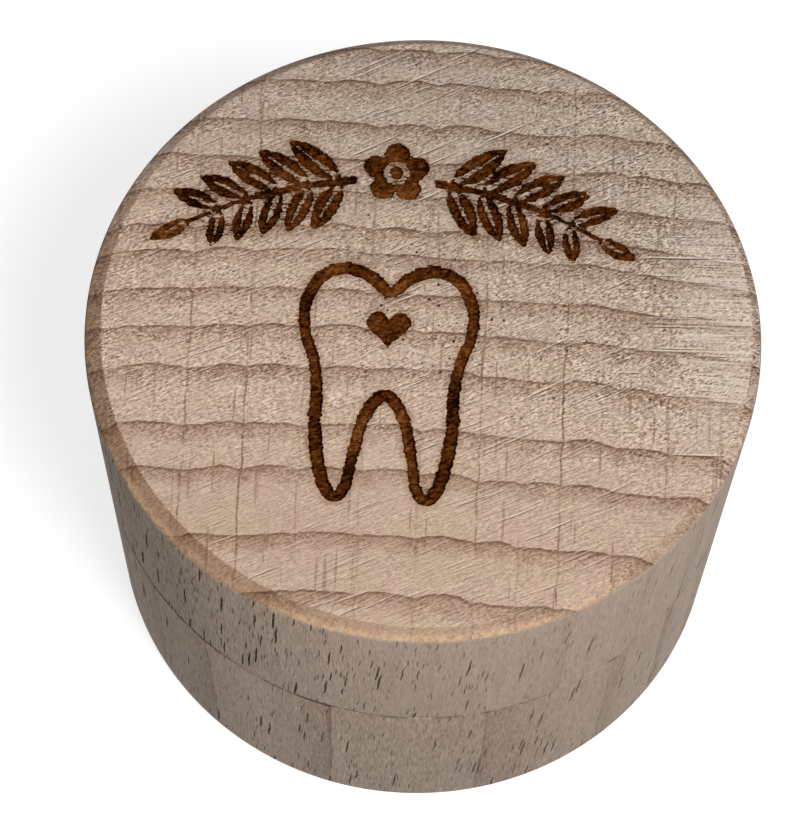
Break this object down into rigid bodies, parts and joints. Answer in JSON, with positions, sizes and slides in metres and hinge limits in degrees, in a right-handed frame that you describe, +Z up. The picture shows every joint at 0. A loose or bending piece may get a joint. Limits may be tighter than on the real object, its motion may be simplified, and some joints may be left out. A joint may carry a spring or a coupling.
{
  "type": "baby tooth box",
  "caption": "Small round turned wooden keepsake box with a bevelled lift-off lid that slides over a tenon on the base and closes flush.",
  "frame": {"origin": "centre of the underside, on the surface that the box stands on", "axes": "+Z up along the turning axis, -Y towards the viewer of the picture, +X to the viewer's right; the lid's decoration reads upright towards +Y"},
  "size_m": [0.045, 0.045, 0.033],
  "materials": {
    "beech": "fine sanded, bare, end grain on the flat top"
  },
  "bodies": {
    "base": {"base": "beech"},
    "lid": {"lid": "beech"}
  },
  "joints": [
    {"name": "lid_lift", "type": "slide", "parent": "base", "child": "lid", "axis": [0, 0, 1], "range_m": [0, 0.045]}
  ]
}
